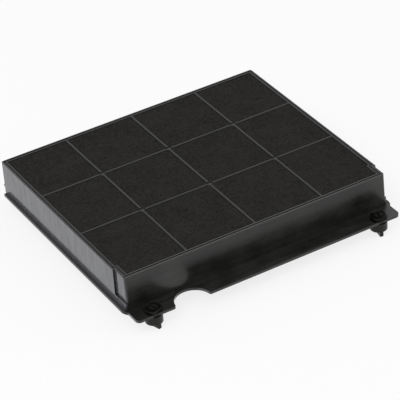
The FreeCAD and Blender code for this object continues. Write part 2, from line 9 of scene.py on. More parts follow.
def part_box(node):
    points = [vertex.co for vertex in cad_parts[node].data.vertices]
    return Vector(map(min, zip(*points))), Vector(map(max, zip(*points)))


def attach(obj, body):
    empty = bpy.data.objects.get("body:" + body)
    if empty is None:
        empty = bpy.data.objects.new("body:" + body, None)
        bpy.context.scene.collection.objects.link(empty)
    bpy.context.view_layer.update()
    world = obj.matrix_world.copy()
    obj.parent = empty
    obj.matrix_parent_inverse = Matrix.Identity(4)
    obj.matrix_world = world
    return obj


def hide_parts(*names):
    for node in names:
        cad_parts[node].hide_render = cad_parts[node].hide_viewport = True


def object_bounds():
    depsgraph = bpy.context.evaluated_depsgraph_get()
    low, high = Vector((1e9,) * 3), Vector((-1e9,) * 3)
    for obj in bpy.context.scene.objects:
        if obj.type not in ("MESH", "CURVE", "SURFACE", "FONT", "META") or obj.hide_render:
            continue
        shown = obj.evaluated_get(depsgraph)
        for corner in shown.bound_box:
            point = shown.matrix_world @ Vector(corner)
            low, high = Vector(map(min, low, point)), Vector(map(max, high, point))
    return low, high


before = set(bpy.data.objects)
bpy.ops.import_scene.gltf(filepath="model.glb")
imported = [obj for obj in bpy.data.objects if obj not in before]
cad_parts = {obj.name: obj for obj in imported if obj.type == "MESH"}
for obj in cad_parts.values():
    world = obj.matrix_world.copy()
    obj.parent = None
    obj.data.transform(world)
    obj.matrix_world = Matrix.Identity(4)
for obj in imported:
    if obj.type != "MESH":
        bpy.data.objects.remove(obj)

bl_info = {
    "name": "Carbon Filter Dressing",
    "version": (1, 0, 0),
    "blender": (4, 5, 0),
    "location": "3D View > Sidebar > Filter",
    "description": "Fleeces, fibres, moulded finishes and a studio for a cooker hood carbon filter",
    "category": "Object",
}

MM = 0.001
CAD_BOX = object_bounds()
TOP_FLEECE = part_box("top_fleece")
FLOOR_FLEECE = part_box("floor_fleece")
BEDS = [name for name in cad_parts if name.startswith("carbon_bed")]

# Share of a normal along an axis, above which its face looks that way
FACING = 0.7

# Seeds of each fleece's broad waves and small lumps, and of the loose fibres
TOP_SEEDS = (5, 9)
FLOOR_SEEDS = (15, 19)
FIBRE_SEED = 3

BLACK = (0.0, 0.0, 0.0)
WHITE = (1.0, 1.0, 1.0)
PAPER = (0.93, 0.93, 0.93)

# The studio in metres: half the floor's side, and each lamp's place, width and height
FLOOR_REACH = 6.0
LAMP_AIM = (0.0, 0.0, 0.02)
LAMPS = {
    "key": ((-0.9, -0.7, 1.3), 1.0, 1.0),
    "fill": ((1.3, -0.5, 0.9), 0.8, 0.8),
    "back": ((-1.0, 1.2, 1.1), 1.0, 0.7),
}
# Share of the floor that glows white where a ray shows the background
FLOOR_GLOW = 0.8


# Settings that the panel shows

class GridSizes(bpy.types.PropertyGroup):
    front_rim: bpy.props.FloatProperty(
        name="Front rim", description="Place of the casing's front rim",
        default=-87.0 * MM, unit="LENGTH")
    column_pitch: bpy.props.FloatProperty(
        name="Column pitch", description="Distance between the ribs that run from front to rear",
        default=56.5 * MM, min=10 * MM, unit="LENGTH")
    first_row: bpy.props.FloatProperty(
        name="First row", description="Distance from the front rim to the first cross rib",
        default=65.2 * MM, min=10 * MM, unit="LENGTH")
    row_pitch: bpy.props.FloatProperty(
        name="Row pitch", description="Distance between the two cross ribs",
        default=58.4 * MM, min=10 * MM, unit="LENGTH")
    rib_width: bpy.props.FloatProperty(
        name="Rib width", description="Width of a cover rib",
        default=1.8 * MM, min=0.0, unit="LENGTH")
    web_width: bpy.props.FloatProperty(
        name="Web width", description="Width of an inner web",
        default=1.6 * MM, min=0.0, unit="LENGTH")
    bridge_length: bpy.props.FloatProperty(
        name="Bridge length", description="Length of each web foot that passes the floor fleece",
        default=28 * MM, min=0.0, unit="LENGTH")
    bridge_room: bpy.props.FloatProperty(
        name="Bridge room", description="Room between a web foot and its slot in the floor fleece",
        default=0.1 * MM, min=0.0, unit="LENGTH")
    floor_rib: bpy.props.FloatProperty(
        name="Floor rib", description="Width of a rib between two of the floor's windows",
        default=3.0 * MM, min=0.0, unit="LENGTH")
    floor_margin: bpy.props.FloatProperty(
        name="Floor margin", description="Width of the closed floor along the walls",
        default=5.0 * MM, min=0.0, unit="LENGTH")
    wall: bpy.props.FloatProperty(
        name="Wall", description="Thickness of the casing's walls",
        default=1.4 * MM, min=0.0, unit="LENGTH")
    ledge_width: bpy.props.FloatProperty(
        name="Ledge width", description="How far a side ledge stands out from its wall",
        default=2.5 * MM, min=0.0, unit="LENGTH")
    corner_step: bpy.props.FloatProperty(
        name="Corner step", description="How much narrower the casing is at its front corners",
        default=2.1 * MM, unit="LENGTH")
    corner_length: bpy.props.FloatProperty(
        name="Corner length", description="Length of the narrow front corners inside the wall",
        default=14.8 * MM, unit="LENGTH")


class FleeceSizes(bpy.types.PropertyGroup):
    cell: bpy.props.FloatProperty(
        name="Mesh cell", description="Spacing of the top fleece's mesh lines",
        default=1.0 * MM, min=0.5 * MM, unit="LENGTH")
    floor_cell: bpy.props.FloatProperty(
        name="Floor mesh cell", description="Spacing of the floor fleece's mesh lines",
        default=1.2 * MM, min=0.5 * MM, unit="LENGTH")
    shoulder: bpy.props.FloatProperty(
        name="Shoulder", description="How far from a rib the pressed fleece springs back",
        default=0.25 * MM, min=0.05 * MM, unit="LENGTH")
    swell: bpy.props.FloatProperty(
        name="Swell", description="How far the fleece swells up between the ribs",
        default=0.3 * MM, min=0.0, unit="LENGTH")
    press: bpy.props.FloatProperty(
        name="Press", description="How deep a rib presses the fleece",
        default=1.1 * MM, min=0.0, unit="LENGTH")
    edge_roll: bpy.props.FloatProperty(
        name="Edge roll", description="How far the fleece's edge is rolled down",
        default=0.33 * MM, min=0.0, unit="LENGTH")
    sag: bpy.props.FloatProperty(
        name="Sag", description="How far the floor fleece sags into the windows",
        default=0.495 * MM, min=0.0, unit="LENGTH")
    sag_run: bpy.props.FloatProperty(
        name="Sag run", description="Distance from a window's edge over which the sag builds up",
        default=4.0 * MM, min=0.1 * MM, unit="LENGTH")
    wave: bpy.props.FloatProperty(
        name="Wave", description="Height of the fleece's broad unevenness",
        default=0.1 * MM, min=0.0, unit="LENGTH")
    wave_size: bpy.props.FloatProperty(
        name="Wave size", description="Size of the fleece's broad unevenness",
        default=11.0 * MM, min=0.1 * MM, unit="LENGTH")
    lump: bpy.props.FloatProperty(
        name="Lump", description="Height of the granules that show through the fleece",
        default=0.035 * MM, min=0.0, unit="LENGTH")
    lump_size: bpy.props.FloatProperty(
        name="Lump size", description="Size of the granules that show through the fleece",
        default=2.4 * MM, min=0.1 * MM, unit="LENGTH")
    strand_length: bpy.props.FloatProperty(
        name="Strand length", description="Length of the fleece's crossing strands",
        default=4.5 * MM, min=0.1 * MM, unit="LENGTH")
    strand_width: bpy.props.FloatProperty(
        name="Strand width", description="Width of the fleece's crossing strands",
        default=0.42 * MM, min=0.01 * MM, unit="LENGTH")
    fibre_density: bpy.props.FloatProperty(
        name="Fibre density", description="Loose surface fibres in each square metre",
        default=170000.0, min=0.0)
    fibre_length: bpy.props.FloatProperty(
        name="Fibre length", description="Length of a loose fibre",
        default=3.6 * MM, min=0.0, unit="LENGTH")
    fibre_radius: bpy.props.FloatProperty(
        name="Fibre radius", description="Radius of a loose fibre",
        default=0.03 * MM, min=0.0, unit="LENGTH")


class FinishColours(bpy.types.PropertyGroup):
    casing: bpy.props.FloatVectorProperty(
        name="Casing", description="Colour of the casing's plastic", subtype="COLOR",
        default=(0.0155, 0.0152, 0.0142), min=0.0, max=1.0)
    # Painted sheen: a pale bluish colour laid on the side walls in place of their reflection
    painted_sheen: bpy.props.FloatVectorProperty(
        name="Bloom", description="Colour of the pale haze on the side walls", subtype="COLOR",
        default=(0.058, 0.06, 0.075), min=0.0, max=1.0)
    cover: bpy.props.FloatVectorProperty(
        name="Cover", description="Colour of the cover grid's plastic", subtype="COLOR",
        default=(0.009, 0.009, 0.009), min=0.0, max=1.0)
    knob: bpy.props.FloatVectorProperty(
        name="Knobs", description="Colour of the knobs' plastic", subtype="COLOR",
        default=(0.0085, 0.008, 0.0068), min=0.0, max=1.0)
    cam: bpy.props.FloatVectorProperty(
        name="Lock cams", description="Colour of the lock cams' plastic", subtype="COLOR",
        default=(0.003, 0.003, 0.003), min=0.0, max=1.0)
    fleece: bpy.props.FloatVectorProperty(
        name="Fleece", description="Colour of the needled fleece", subtype="COLOR",
        default=(0.0074, 0.0071, 0.0065), min=0.0, max=1.0)
    carbon: bpy.props.FloatVectorProperty(
        name="Carbon", description="Colour of the carbon granules", subtype="COLOR",
        default=(0.012, 0.012, 0.012), min=0.0, max=1.0)


class FinishSizes(bpy.types.PropertyGroup):
    grain: bpy.props.FloatProperty(
        name="Mould grain", description="Size of the fine grain in the plastic",
        default=0.35 * MM, min=0.05 * MM, unit="LENGTH")
    speck: bpy.props.FloatProperty(
        name="Speck", description="Size of the dull specks on the plastic",
        default=1.6 * MM, min=0.1 * MM, unit="LENGTH")
    haze: bpy.props.FloatProperty(
        name="Haze", description="Size of the clouds that handling left on the plastic",
        default=22.0 * MM, min=1.0 * MM, unit="LENGTH")
    flow_length: bpy.props.FloatProperty(
        name="Flow mark length", description="Length of the flow marks in the plastic",
        default=60.0 * MM, min=1.0 * MM, unit="LENGTH")
    flow_width: bpy.props.FloatProperty(
        name="Flow mark width", description="Width of the flow marks in the plastic",
        default=5.0 * MM, min=1.0 * MM, unit="LENGTH")
    flow_turn: bpy.props.FloatProperty(
        name="Flow mark direction", description="Angle at which the flow marks run",
        default=0.35, subtype="ANGLE")
    streak_height: bpy.props.FloatProperty(
        name="Streak height", description="Height of the streaks on the side walls",
        default=18.0 * MM, min=1.0 * MM, unit="LENGTH")
    streak_width: bpy.props.FloatProperty(
        name="Streak width", description="Width of the streaks on the side walls",
        default=3.0 * MM, min=0.1 * MM, unit="LENGTH")
    wall_edge: bpy.props.FloatProperty(
        name="Wall edge", description="Distance from the middle at which the side ledges begin",
        default=110.5 * MM, unit="LENGTH")
    # How strongly the painted sheen is laid on the side walls
    wall_sheen_paint: bpy.props.FloatProperty(
        name="Wall bloom", description="How strongly the pale haze covers the side walls",
        default=1.6, min=0.0)
    wall_polish: bpy.props.FloatProperty(
        name="Wall polish", description="How strongly the side walls are polished",
        default=0.7, min=0.0)
    # Painted shade: the ledges at the walls' feet are darkened to this share of the casing's colour
    ledge_painted_shade: bpy.props.FloatProperty(
        name="Ledge tone", description="Tone of the side ledges, as a share of the casing's",
        default=0.2, min=0.0)
    lean: bpy.props.FloatProperty(
        name="Front lean", description="Slope by which the front wall is shaded as leaning further",
        default=0.105)
    # Painted shade and highlights: the places and tones below paint shade in the joint between the
    # rim and the cover, and highlights on the edges beside it
    joint_front: bpy.props.FloatProperty(
        name="Joint front", description="Where the soot between the rim and the cover begins",
        default=-85.95 * MM, unit="LENGTH")
    joint_rear: bpy.props.FloatProperty(
        name="Joint rear", description="Where the soot between the rim and the cover ends",
        default=-84.7 * MM, unit="LENGTH")
    joint_edge: bpy.props.FloatProperty(
        name="Joint edge", description="Width of the rubbed edges beside the soot",
        default=1.4 * MM, min=0.0, unit="LENGTH")
    joint_foot: bpy.props.FloatProperty(
        name="Joint foot", description="Height above which the soot and the rubbed edges lie",
        default=39.15 * MM, unit="LENGTH")
    groove_shade_tone: bpy.props.FloatProperty(
        name="Soot tone", description="Tone of the soot, as a share of the plastic's",
        default=0.1, min=0.0)
    edge_highlight_tone: bpy.props.FloatProperty(
        name="Rubbed tone", description="Tone of the rubbed edges, as a share of the plastic's",
        default=3.0, min=0.0)
    granule: bpy.props.FloatProperty(
        name="Granule", description="Size of a carbon granule",
        default=2.6 * MM, min=0.1 * MM, unit="LENGTH")


class StudioSizes(bpy.types.PropertyGroup):
    azimuth: bpy.props.FloatProperty(
        name="Azimuth", description="Direction the camera looks from", subtype="ANGLE",
        default=math.radians(-28.723))
    elevation: bpy.props.FloatProperty(
        name="Elevation", description="Height of the camera above the horizon", subtype="ANGLE",
        default=math.radians(33.981))
    roll: bpy.props.FloatProperty(
        name="Roll", description="Turn of the camera about its own axis", subtype="ANGLE",
        default=math.radians(-4.384))
    distance: bpy.props.FloatProperty(
        name="Distance", description="Distance from the camera to its target",
        default=1606.9 * MM, unit="LENGTH")
    target: bpy.props.FloatVectorProperty(
        name="Target", description="Point in the middle of the picture", subtype="TRANSLATION",
        default=(-17.05 * MM, -36.61 * MM, 39.98 * MM))
    lens: bpy.props.FloatProperty(
        name="Lens", description="Focal length on a 36 mm wide sensor",
        default=201.73, min=1.0, unit="CAMERA")
    key: bpy.props.FloatProperty(
        name="Key light", description="Power of the large lamp above the front left",
        default=9.0, min=0.0, unit="POWER")
    fill: bpy.props.FloatProperty(
        name="Fill light", description="Power of the lamp at the right",
        default=3.5, min=0.0, unit="POWER")
    back: bpy.props.FloatProperty(
        name="Back light", description="Power of the lamp behind the part",
        default=4.0, min=0.0, unit="POWER")
    sky: bpy.props.FloatProperty(
        name="Sky", description="Strength of the soft light from all round",
        default=0.62, min=0.0)


# Node trees

class Wire:
    """A node's output, on which Python's operators add Math nodes."""

    def __init__(self, maker, socket):
        self.maker = maker
        self.socket = socket

    def math(self, operation, *values):
        return self.maker.node("ShaderNodeMath", {"operation": operation}, dict(enumerate(values)))

    def __add__(self, other):
        return self.math("ADD", self, other)

    def __radd__(self, other):
        return self.math("ADD", other, self)

    def __sub__(self, other):
        return self.math("SUBTRACT", self, other)

    def __rsub__(self, other):
        return self.math("SUBTRACT", other, self)

    def __mul__(self, other):
        return self.math("MULTIPLY", self, other)

    def __rmul__(self, other):
        return self.math("MULTIPLY", other, self)

    def __abs__(self):
        return self.math("ABSOLUTE", self)

    def __gt__(self, other):
        return self.math("GREATER_THAN", self, other)

    def __lt__(self, other):
        return self.math("LESS_THAN", self, other)

    def most(self, other):
        return self.math("MAXIMUM", self, other)

    def least(self, other):
        return self.math("MINIMUM", self, other)

    def spread(self, low, high):
        """Sets out a value between 0 and 1 between two others."""
        return self * (high - low) + low

    def mixed(self, other, share):
        """This value with a share of another in its place."""
        return self * (1.0 - share) + other * share


class Maker:
    """Adds nodes to one tree."""

    def __init__(self, tree):
        self.tree = tree
        tree.nodes.clear()

    def node(self, kind, settings=None, values=None, output=0):
        node = self.tree.nodes.new(kind)
        for name, setting in (settings or {}).items():
            if name == "stops":
                self.set_stops(node.color_ramp, setting)
            else:
                setattr(node, name, setting)
        for name, value in (values or {}).items():
            if isinstance(value, Wire):
                self.tree.links.new(value.socket, node.inputs[name])
            else:
                node.inputs[name].default_value = value
        return Wire(self, node.outputs[output]) if node.outputs else node

    @staticmethod
    def set_stops(ramp, stops):
        while len(ramp.elements) < len(stops):
            ramp.elements.new(1.0)
        for element, (position, colour) in zip(ramp.elements, stops):
            element.position = position
            element.color = colour4(colour)

    def place(self):
        """A point's place in the object, which is its place in the CAD frame."""
        return self.node("ShaderNodeTexCoord", output="Object")

    def facing(self):
        """The direction that a surface faces, in the object."""
        return self.node("ShaderNodeTexCoord", output="Normal")

    def axis(self, vector, name):
        return self.node("ShaderNodeSeparateXYZ", {}, {"Vector": vector}, output=name)

    def vector(self, **parts):
        return self.node("ShaderNodeCombineXYZ", {}, parts)

    def noise(self, place, size, detail=2.0, roughness=0.5):
        return self.node("ShaderNodeTexNoise", {}, {
            "Vector": place, "Scale": 1.0 / size, "Detail": detail, "Roughness": roughness})

    def stretched(self, place, turn, along, across):
        """Noise drawn out into strands that run at an angle in the plane."""
        turned = self.node("ShaderNodeMapping", {}, {
            "Vector": place, "Rotation": (0.0, 0.0, turn),
            "Scale": (1.0 / along, 1.0 / across, 1.0 / across)})
        return self.node("ShaderNodeTexNoise", {}, {
            "Vector": turned, "Scale": 1.0, "Detail": 1.0, "Distortion": 0.4})

    def streaked(self, place, width, height):
        """Noise drawn out upwards."""
        drawn = self.node("ShaderNodeMapping", {}, {
            "Vector": place, "Scale": (1.0 / width, 1.0 / width, 1.0 / height)})
        return self.noise(drawn, 1.0, detail=4.0, roughness=0.65)

    def ramp(self, share, stops):
        return self.node("ShaderNodeValToRGB", {"stops": stops}, {"Fac": share})

    def bump(self, height, distance, strength=1.0, normal=None):
        values = {"Strength": strength, "Distance": distance, "Height": height}
        if normal is not None:
            values["Normal"] = normal
        return self.node("ShaderNodeBump", {}, values)

    # The next three name sockets by number, because their nodes have several of one name

    def blend(self, share, first, second):
        return self.node("ShaderNodeMix", {"data_type": "RGBA"}, {
            0: share, 6: colour4(first), 7: colour4(second)}, output=2)

    def random_vector(self, low, high, seed):
        return self.node("FunctionNodeRandomValue", {"data_type": "FLOAT_VECTOR"}, {
            0: low, 1: high, "Seed": seed})

    def random_number(self, low, high, seed):
        return self.node("FunctionNodeRandomValue", {"data_type": "FLOAT"}, {
            2: low, 3: high, "Seed": seed}, output=1)


def colour4(colour):
    return colour if isinstance(colour, Wire) else (*colour, 1.0)


def shaded(colour, share):
    return tuple(part * share for part in colour)


# Finishes

def new_material(name):
    material = bpy.data.materials.new(name)
    material.use_nodes = True
    return material, Maker(material.node_tree)


def finish_material(maker, values):
    surface = maker.node("ShaderNodeBsdfPrincipled", {}, values)
    maker.node("ShaderNodeOutputMaterial", {}, {"Surface": surface})


def plastic_values(maker, finish, colour, gloss, grain_depth, ior, haze_share=0.2):
    """Shader values of black moulded plastic: fine grain, faint flow marks and handling haze."""
    place = maker.place()
    haze = maker.noise(place, finish.haze, detail=3.0)
    flow = maker.stretched(place, finish.flow_turn, finish.flow_length, finish.flow_width)
    grain = maker.noise(place, finish.grain)
    speck = maker.noise(place, finish.speck, detail=1.0)
    worn = maker.ramp(haze.mixed(flow, 0.4), [(0.38, BLACK), (0.66, WHITE)])
    polished, dulled = gloss - 0.05, gloss + 0.09
    dark, pale = shaded(colour, 1.0 - haze_share), shaded(colour, 1.0 + haze_share)
    fine = maker.bump(grain, grain_depth, strength=0.5)
    mark_depth = 6 * grain_depth
    coarse = maker.bump(flow.mixed(haze, 0.3), mark_depth, strength=0.3, normal=fine)
    return {"Base Color": maker.blend(worn, dark, pale), "IOR": ior, "Normal": coarse,
            "Roughness": worn.mixed(speck, 0.3).spread(polished, dulled)}


def lean_front(maker, finish, values):
    """Shades the faces that look to the front as if they leaned further."""
    to_front = maker.axis(maker.facing(), "Y") < -FACING
    height = maker.axis(maker.place(), "Z")
    metre = 1.0
    values["Normal"] = maker.bump(to_front * height * finish.lean, metre, normal=values["Normal"])


def paint_side_wall_sheen(maker, finish, values, colour, painted_sheen):
    """Gives the side walls a streaked polish and a painted sheen, and paints shade on the ledges
    beyond them.
    """
    to_side = abs(maker.axis(maker.facing(), "X")) > FACING
    ledge = abs(maker.axis(maker.place(), "X")) > finish.wall_edge
    wall = to_side * (1.0 - ledge)
    streak = maker.streaked(maker.place(), finish.streak_width, finish.streak_height)
    # Painted sheen: the streaks lay a pale colour on the side walls in place of a brighter reflection
    pale = maker.blend(wall * (streak * finish.wall_sheen_paint), values["Base Color"], painted_sheen)
    # Painted shade: the ledges beyond the walls get a darker copy of the casing's colour
    values["Base Color"] = maker.blend(ledge, pale, shaded(colour, finish.ledge_painted_shade))
    wall_gloss, ledge_gloss = 0.08, 0.17
    values["Roughness"] = values["Roughness"] - wall * wall_gloss - ledge * ledge_gloss
    values["Coat Weight"] = wall * (streak * finish.wall_polish)
    values["Coat IOR"] = 1.5
    values["Coat Roughness"] = 0.12


def paint_joint_shade_and_highlights(maker, finish, values, colour):
    """Paints shade in the joint between the rim and the cover, and paints highlights on the edges
    beside it.
    """
    depth = maker.axis(maker.place(), "Y")
    raised = maker.axis(maker.place(), "Z") > finish.joint_foot
    front, rear, edge = finish.joint_front, finish.joint_rear, finish.joint_edge
    beside = (depth > front - edge) * (depth < rear + edge) * raised
    painted_groove_shade = (depth > front) * (depth < rear) * raised
    # Painted highlights: the edges beside the joint get a paler copy of the plastic's colour
    painted_highlit = maker.blend(beside, values["Base Color"], shaded(colour, finish.edge_highlight_tone))
    # Painted shade: the joint gets a darker copy of the plastic's colour
    values["Base Color"] = maker.blend(painted_groove_shade, painted_highlit, shaded(colour, finish.groove_shade_tone))
    # A black metal hardly shines, so the painted shade stays dark under the lamps
    groove_shade_metal = 0.7
    values["Metallic"] = painted_groove_shade * groove_shade_metal


def casing_plastic(finish, colours):
    material, maker = new_material("casing_plastic")
    values = plastic_values(maker, finish, colours.casing, gloss=0.25, grain_depth=0.02 * MM,
                            ior=1.45, haze_share=0.5)
    lean_front(maker, finish, values)
    paint_side_wall_sheen(maker, finish, values, colours.casing, colours.painted_sheen)
    paint_joint_shade_and_highlights(maker, finish, values, colours.casing)
    finish_material(maker, values)
    return material


def cover_plastic(finish, colours):
    material, maker = new_material("cover_plastic")
    values = plastic_values(maker, finish, colours.cover, gloss=0.4, grain_depth=0.02 * MM,
                            ior=1.42)
    paint_joint_shade_and_highlights(maker, finish, values, colours.cover)
    finish_material(maker, values)
    return material


def lock_plastic(name, finish, colour, ior):
    material, maker = new_material(name)
    finish_material(maker, plastic_values(
        maker, finish, colour, gloss=0.3, grain_depth=0.015 * MM, ior=ior))
    return material


def needled_fleece(sizes, colour):
    """Matt nonwoven: crossing strands of fibre with tufts and thin places."""
    material, maker = new_material("needled_fleece")
    place = maker.place()
    layers = []
    for turn in (0.2, 1.1, 1.9, 2.7):
        strand = maker.stretched(place, turn, sizes.strand_length, sizes.strand_width)
        layers.append(1.0 - abs(strand - 0.5) * 5.0)
    strands = functools.reduce(Wire.most, layers)
    tufts = maker.noise(place, size=2.4 * MM, detail=3.0, roughness=0.6)
    clouds = maker.noise(place, size=18 * MM)
    specks = maker.noise(place, size=1.1 * MM, detail=1.0)
    tone = maker.ramp(strands * 0.35 + tufts * 0.25 + clouds * 0.15 + specks * 0.4, [
        (0.4, shaded(colour, 0.12)), (0.58, colour), (0.76, shaded(colour, 3.2))])
    normal = maker.bump(strands.mixed(tufts, 0.4), distance=0.18 * MM, strength=0.8)
    finish_material(maker, {
        "Base Color": tone, "Roughness": tufts.spread(0.8, 1.0), "IOR": 1.35,
        "Specular IOR Level": 0.12, "Sheen Weight": 0.01, "Normal": normal})
    return material


def carbon_granules(finish, colour):
    """Broken black granules, each with its own tone and gloss."""
    material, maker = new_material("carbon_granules")
    cells = {"Vector": maker.place(), "Scale": 1.0 / finish.granule, "Randomness": 1.0}
    edge = maker.node("ShaderNodeTexVoronoi", {"feature": "DISTANCE_TO_EDGE"}, cells)
    tint = maker.node("ShaderNodeTexVoronoi", {}, cells, output="Color")
    grey = maker.node("ShaderNodeSeparateColor", {}, {"Color": tint})
    finish_material(maker, {
        "Base Color": maker.blend(grey, shaded(colour, 0.6), shaded(colour, 1.8)),
        "Roughness": grey.spread(0.45, 0.8),
        "Normal": maker.bump((edge * 3.0).least(1.0), distance=0.9 * MM)})
    return material


def give_material(item, material):
    """Gives an object one material in place of those it has."""
    item.data.materials.clear()
    item.data.materials.append(material)


# Fleeces

def new_piece(name, mesh, body, material):
    """An object of the mesh that rides on a body and has its finish from a slot."""
    item = bpy.data.objects.new(name, mesh)
    bpy.context.scene.collection.objects.link(item)
    give_material(item, material)
    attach(item, body)
    return item


def grid_lines(stops, step):
    """Lines no further apart than the step, with one on every stop."""
    stops = sorted(set(stops))
    lines = [stops[0]]
    for start, end in zip(stops, stops[1:]):
        count = max(1, math.ceil((end - start) / step - 1e-6))
        lines += [start + (end - start) * number / count for number in range(1, count + 1)]
    return np.array(lines)


def ripple(x, y, size, seed):
    """Smooth seeded unevenness between about -1 and 1, with lumps of one size."""
    draw = np.random.default_rng(seed)
    total = np.zeros_like(x)
    waves = 24
    shortest, longest = 1.4, 3.2
    for _ in range(waves):
        turn = draw.uniform(0.0, 2.0 * math.pi)
        phase = draw.uniform(0.0, 2.0 * math.pi)
        length = size * draw.uniform(shortest, longest)
        total += np.cos((x * math.cos(turn) + y * math.sin(turn)) * 2.0 * math.pi / length + phase)
    return total / math.sqrt(waves)


def unevenness(x, y, fleece, seeds):
    """Broad waves, with the small lumps of the granules behind the fleece."""
    wave_seed, lump_seed = seeds
    return (ripple(x, y, fleece.wave_size, wave_seed) * fleece.wave
            + ripple(x, y, fleece.lump_size, lump_seed) * fleece.lump)


def closed_sheet(name, xs, ys, kept, top, bottom):
    """A closed sheet over the kept cells of a grid, between two height fields."""
    rows, columns = len(ys), len(xs)
    number = np.arange(rows * columns).reshape(rows, columns)
    layer = rows * columns
    x, y = np.meshgrid(xs, ys)
    points = np.concatenate([
        np.stack([x, y, height], axis=-1).reshape(-1, 3) for height in (top, bottom)])
    a, b = number[:-1, :-1], number[:-1, 1:]
    c, d = number[1:, 1:], number[1:, :-1]
    skin = np.stack([a, b, c, d], axis=-1)[kept]
    faces = [skin, skin[:, ::-1] + layer]
    padded = np.pad(kept, 1)
    sides = {
        "front": (padded[:-2, 1:-1], a, b), "right": (padded[1:-1, 2:], b, c),
        "rear": (padded[2:, 1:-1], c, d), "left": (padded[1:-1, :-2], d, a)}
    for neighbour, start, end in sides.values():
        rim = kept & ~neighbour
        start, end = start[rim], end[rim]
        faces.append(np.stack([start + layer, end + layer, end, start], axis=-1))
    faces = np.concatenate(faces)
    used = np.unique(faces)
    place = np.zeros(2 * layer, int)
    place[used] = np.arange(len(used))
    mesh = bpy.data.meshes.new(name)
    mesh.from_pydata(points[used].tolist(), [], place[faces].tolist())
    smooth = np.zeros(len(faces), bool)
    smooth[:2 * len(skin)] = True
    mesh.polygons.foreach_set("use_smooth", smooth)
    mesh.update()
    return mesh


def rib_places(grid):
    """Where the ribs, the webs and the floor's ribs run, as x and y places."""
    columns = [-grid.column_pitch, 0.0, grid.column_pitch]
    rows = [grid.front_rim + grid.first_row, grid.front_rim + grid.first_row + grid.row_pitch]
    return columns, rows


def inner_half(grid):
    """Half the width between the casing's side walls."""
    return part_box("casing")[1].x - grid.ledge_width - grid.wall


def corner_place(high, grid):
    """Half the width at a fleece's narrow front corners, and where it widens behind them."""
    margin = inner_half(grid) - high.x
    return high.x - grid.corner_step, grid.front_rim + grid.corner_length + margin


def edge_lines(low, high, grid):
    """The mesh lines that a fleece's outline needs, across and along."""
    narrow, step = corner_place(high, grid)
    return [low.x, -narrow, narrow, high.x], [low.y, step, high.y]


def cell_middles(xs, ys):
    """The middle of every cell between the mesh lines."""
    return np.meshgrid((xs[:-1] + xs[1:]) / 2, (ys[:-1] + ys[1:]) / 2)


def inside_casing(xs, ys, high, grid):
    """The cells inside a fleece's outline, which is narrower at the two front corners."""
    x, y = cell_middles(xs, ys)
    narrow, step = corner_place(high, grid)
    return ~((np.abs(x) > narrow) & (y < step))


def nearest(values, places):
    """How far each value is from the nearest of some places."""
    return np.min([np.abs(values - place) for place in places], axis=0)


def distances(x, y, low, high, grid):
    """How far a point is from the middle of the nearest rib and from the fleece's edge."""
    columns, rows = rib_places(grid)
    to_rib = np.minimum(nearest(x, columns), nearest(y, rows))
    to_edge = np.minimum(np.minimum(x - low.x, high.x - x), np.minimum(y - low.y, high.y - y))
    return to_rib, to_edge


def top_fleece_mesh(grid, fleece):
    """The top fleece, pressed down under the ribs and swollen up between them."""
    low, high = TOP_FLEECE
    columns, rows = rib_places(grid)
    edge_x, edge_y = edge_lines(low, high, grid)
    half = grid.rib_width / 2
    shoulders = [sign * (half + share * fleece.shoulder)
                 for sign in (-1, 1) for share in (0.1, 0.5, 1.0)]
    xs = grid_lines(edge_x + [place + side for place in columns for side in shoulders], fleece.cell)
    ys = grid_lines(edge_y + [place + side for place in rows for side in shoulders], fleece.cell)
    x, y = np.meshgrid(xs, ys)
    to_rib, to_edge = distances(x, y, low, high, grid)
    beside_rib = np.clip(to_rib - half, 0.0, None)
    pressed = np.exp(-beside_rib / (fleece.shoulder / 2)) * fleece.press
    rolled = np.exp(-np.clip(to_edge, 0.0, None) / fleece.shoulder) * fleece.edge_roll
    under_rib = pressed > fleece.press / 2
    calm_reach = 3 * fleece.shoulder
    loose = np.clip(beside_rib / calm_reach, 0.0, 1.0)
    crest = high.z + fleece.swell
    room = fleece.wave * 1.2
    top = crest - room - np.maximum(pressed + fleece.swell * under_rib, rolled)
    top = np.minimum(top + unevenness(x, y, fleece, TOP_SEEDS) * loose, crest)
    bottom = np.full_like(top, low.z)
    kept = inside_casing(xs, ys, high, grid)
    return closed_sheet("top_fleece_sheet", xs, ys, kept, top, bottom)


def span_middles(lines, low, high, width):
    """The middles of the spans that lines of one width leave free."""
    starts = [low] + [line + width / 2 for line in lines]
    ends = [line - width / 2 for line in lines] + [high]
    return [(start + end) / 2 for start, end in zip(starts, ends)]


def bridge_slots(high, grid):
    """The floor fleece's slots for the web feet, as lowest and highest x and y."""
    columns, rows = rib_places(grid)
    half = grid.web_width / 2 + grid.bridge_room
    reach = grid.bridge_length / 2 + grid.bridge_room
    inner = inner_half(grid)
    margin = inner - high.x
    middles_x = span_middles(columns, -inner, inner, grid.web_width)
    middles_y = span_middles(rows, grid.front_rim + grid.wall, high.y + margin, grid.web_width)
    lengthways = [(x - half, x + half, y - reach, y + reach) for x in columns for y in middles_y]
    crossways = [(x - reach, x + reach, y - half, y + half) for y in rows for x in middles_x]
    return lengthways + crossways


